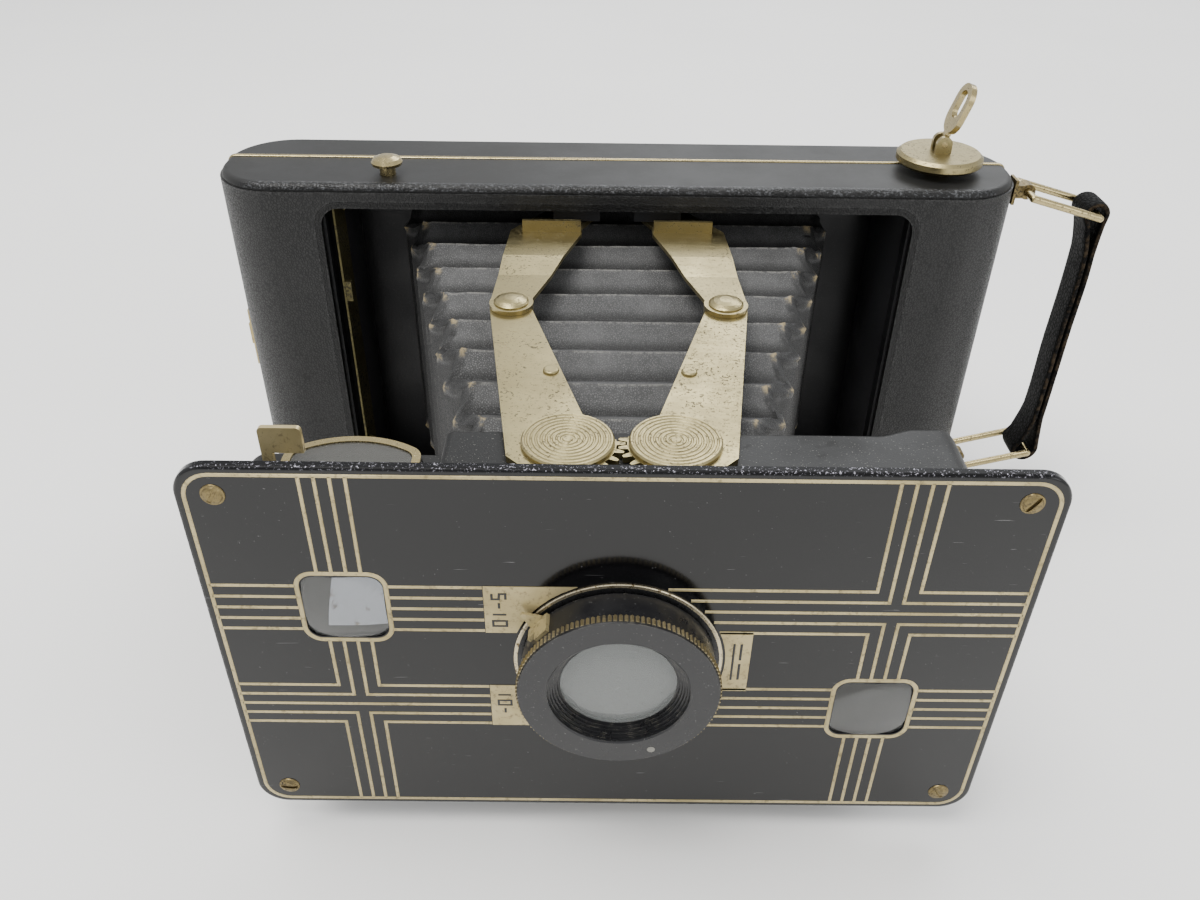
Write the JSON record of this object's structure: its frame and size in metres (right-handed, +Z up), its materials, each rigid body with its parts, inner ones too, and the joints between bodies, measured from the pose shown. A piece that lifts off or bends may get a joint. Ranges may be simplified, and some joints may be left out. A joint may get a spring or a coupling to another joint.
{
  "type": "folding roll-film camera",
  "caption": "Folding roll-film camera, front opened on strut arms, with pleated bellows, decorated face plate, focusing lens ring, winding key and carrying strap.",
  "frame": {"origin": "on the flat base of the body, mid width and mid depth of the body", "axes": "+Z up, -Y out of the lens towards the subject, +X towards the winding key and strap"},
  "size_m": [0.188, 0.1229, 0.1],
  "materials": {
    "shell_paint": "satin dark grey-black paint",
    "leatherette": "fine grained black leatherette",
    "inner_black": "matt black paint",
    "standard_paint": "satin grey paint",
    "enamel": "glossy black enamel",
    "nickel": "warm worn nickel plate with fine specks",
    "brass_nickel": "worn nickel over brass",
    "ring_black": "black enamel, worn at the knurl",
    "optic": "clear polished glass",
    "ruby": "red glass",
    "mirror": "silvered glass",
    "spring_steel": "bare spring steel",
    "bellows_leather": "folded dark grey leather, tan at worn corners",
    "strap_leather": "black grained leather"
  },
  "bodies": {
    "body": {"body_shell": "shell_paint", "body_covering": "leatherette", "back_hinge_pin": "brass_nickel", "film_frame": "inner_black", "spool_pins": "spring_steel", "strut_brackets": "nickel", "bail_anchors": "brass_nickel", "tripod_socket": "nickel", "bellows": "bellows_leather"},
    "film_roller_left": {"film_roller_left": "spring_steel"},
    "film_roller_right": {"film_roller_right": "spring_steel"},
    "supply_spool": {"supply_spool": "inner_black"},
    "winder": {"takeup_spool": "inner_black", "winding_disc": "nickel"},
    "winding_key": {"winding_key": "nickel"},
    "back": {"back_cover": "shell_paint", "back_covering": "leatherette", "red_window": "ruby", "red_window_ring": "nickel", "pressure_plate": "inner_black", "pressure_springs": "spring_steel"},
    "back_latch": {"back_latch": "nickel"},
    "link_top_left": {"link_top_left": "nickel", "elbow_rivet_top_left": "nickel"},
    "link_top_right": {"link_top_right": "nickel", "elbow_rivet_top_right": "nickel"},
    "link_bottom_left": {"link_bottom_left": "nickel", "elbow_rivet_bottom_left": "nickel"},
    "link_bottom_right": {"link_bottom_right": "nickel", "elbow_rivet_bottom_right": "nickel"},
    "arm_top_left": {"arm_top_left": "nickel"},
    "arm_top_right": {"arm_top_right": "nickel"},
    "arm_bottom_left": {"arm_bottom_left": "nickel"},
    "arm_bottom_right": {"arm_bottom_right": "nickel"},
    "front_standard": {"face_plate": "enamel", "plate_screws": "brass_nickel", "standard_housing": "standard_paint", "finder_shells": "inner_black", "finder_rims": "nickel", "finder_view_lenses": "optic", "finder_front_lenses": "optic", "finder_mirrors": "mirror", "lens_barrel": "nickel", "rear_lens": "optic", "shutter_plate": "inner_black", "lever_pivot": "spring_steel", "hub_caps": "nickel", "bellows_clamp": "inner_black"},
    "focusing": {"focusing_ring": "ring_black", "front_lens": "optic", "lens_retainer": "inner_black", "focus_pointer": "nickel"},
    "release_lever": {"release_lever": "nickel"},
    "shutter_blade": {"shutter_blade": "spring_steel"},
    "release_button": {"release_button": "nickel"},
    "catch_strip": {"catch_strip": "nickel"},
    "bail_upper": {"bail_upper": "nickel"},
    "strap": {"strap": "strap_leather"},
    "bail_lower": {"bail_lower": "nickel"}
  },
  "joints": [
    {"name": "front_fold", "type": "hinge", "parent": "body", "child": "link_top_left", "pos_m": [-0.0078, -0.0036, 0.0739], "axis": [0, 0, -1], "range_deg": [0, 73], "deforming": ["bellows"]},
    {"name": "elbow_top_left", "type": "hinge", "parent": "link_top_left", "child": "arm_top_left", "pos_m": [-0.0191, -0.0459, 0.0725], "axis": [0, 0, 1], "range_deg": [0, 146]},
    {"name": "hub_top_left", "type": "hinge", "parent": "arm_top_left", "child": "front_standard", "pos_m": [-0.0078, -0.0882, 0.0725], "axis": [0, 0, -1], "range_deg": [0, 73]},
    {"name": "hub_top_right", "type": "hinge", "parent": "front_standard", "child": "arm_top_right", "pos_m": [0.0078, -0.0882, 0.0725], "axis": [0, 0, -1], "range_deg": [0, 73]},
    {"name": "elbow_top_right", "type": "hinge", "parent": "arm_top_right", "child": "link_top_right", "pos_m": [0.0191, -0.0459, 0.0725], "axis": [0, 0, 1], "range_deg": [0, 146]},
    {"name": "hub_bottom_left", "type": "hinge", "parent": "front_standard", "child": "arm_bottom_left", "pos_m": [-0.0078, -0.0882, 0.01], "axis": [0, 0, 1], "range_deg": [0, 73]},
    {"name": "elbow_bottom_left", "type": "hinge", "parent": "arm_bottom_left", "child": "link_bottom_left", "pos_m": [-0.0191, -0.0459, 0.01], "axis": [0, 0, -1], "range_deg": [0, 146]},
    {"name": "hub_bottom_right", "type": "hinge", "parent": "front_standard", "child": "arm_bottom_right", "pos_m": [0.0078, -0.0882, 0.01], "axis": [0, 0, -1], "range_deg": [0, 73]},
    {"name": "elbow_bottom_right", "type": "hinge", "parent": "arm_bottom_right", "child": "link_bottom_right", "pos_m": [0.0191, -0.0459, 0.01], "axis": [0, 0, 1], "range_deg": [0, 146]},
    {"name": "back_hinge", "type": "hinge", "parent": "body", "child": "back", "pos_m": [0.0836, 0.002, 0.04125], "axis": [0, 0, -1], "range_deg": [0, 85]},
    {"name": "back_catch", "type": "slide", "parent": "body", "child": "back_latch", "axis": [0, 0, 1], "range_m": [0, 0.0025]},
    {"name": "wind", "type": "hinge", "parent": "body", "child": "winder", "pos_m": [0.0668, -0.001, 0.084], "axis": [0, 0, 1], "continuous": true},
    {"name": "key_fold", "type": "hinge", "parent": "winder", "child": "winding_key", "pos_m": [0.0668, -0.001, 0.0882], "axis": [0, 1, 0], "range_deg": [-100, 72]},
    {"name": "supply_turn", "type": "hinge", "parent": "body", "child": "supply_spool", "pos_m": [-0.0668, -0.001, 0.04125], "axis": [0, 0, 1], "continuous": true},
    {"name": "roller_left_turn", "type": "hinge", "parent": "body", "child": "film_roller_left", "pos_m": [-0.0495, 0.00825, 0.04125], "axis": [0, 0, 1], "continuous": true},
    {"name": "roller_right_turn", "type": "hinge", "parent": "body", "child": "film_roller_right", "pos_m": [0.0495, 0.00825, 0.04125], "axis": [0, 0, 1], "continuous": true},
    {"name": "front_release", "type": "slide", "parent": "body", "child": "release_button", "axis": [0, 0, -1], "range_m": [0, 0.0015]},
    {"name": "catch_slide", "type": "slide", "parent": "body", "child": "catch_strip", "axis": [0, 0, -1], "range_m": [0, 0.0015]},
    {"name": "focus", "type": "hinge", "parent": "front_standard", "child": "focusing", "pos_m": [0, -0.104, 0.04125], "axis": [0, -1, 0], "range_deg": [0, 74]},
    {"name": "shutter_release", "type": "hinge", "parent": "front_standard", "child": "release_lever", "pos_m": [-0.0502, -0.0915, 0.024], "axis": [0, -1, 0], "range_deg": [0, 3.5]},
    {"name": "shutter_swing", "type": "hinge", "parent": "front_standard", "child": "shutter_blade", "pos_m": [-0.015, -0.0937, 0.04125], "axis": [0, -1, 0], "range_deg": [0, 45.5]},
    {"name": "strap_swing", "type": "hinge", "parent": "body", "child": "bail_upper", "pos_m": [0.0856, -0.003, 0.079], "axis": [0, 1, 0], "range_deg": [-6, 6]},
    {"name": "strap_top_loop", "type": "hinge", "parent": "bail_upper", "child": "strap", "pos_m": [0.1004, -0.003, 0.0749], "axis": [0, -1, 0], "range_deg": [-6, 6]},
    {"name": "strap_lower_bail", "type": "hinge", "parent": "body", "child": "bail_lower", "pos_m": [0.0856, -0.003, 0.011], "axis": [0, 1, 0], "range_deg": [-6, 6]}
  ],
  "couplings": [
    {"joint": "elbow_top_left", "follows": "front_fold", "ratio": 2},
    {"joint": "hub_top_left", "follows": "front_fold", "ratio": 1},
    {"joint": "hub_top_right", "follows": "front_fold", "ratio": 1},
    {"joint": "elbow_top_right", "follows": "front_fold", "ratio": 2},
    {"joint": "hub_bottom_left", "follows": "front_fold", "ratio": 1},
    {"joint": "elbow_bottom_left", "follows": "front_fold", "ratio": 2},
    {"joint": "hub_bottom_right", "follows": "front_fold", "ratio": 1},
    {"joint": "elbow_bottom_right", "follows": "front_fold", "ratio": 2},
    {"joint": "catch_slide", "follows": "front_release", "ratio": 1},
    {"joint": "shutter_swing", "follows": "shutter_release", "ratio": 13},
    {"joint": "strap_top_loop", "follows": "strap_swing", "ratio": 1},
    {"joint": "strap_lower_bail", "follows": "strap_swing", "ratio": 1}
  ]
}
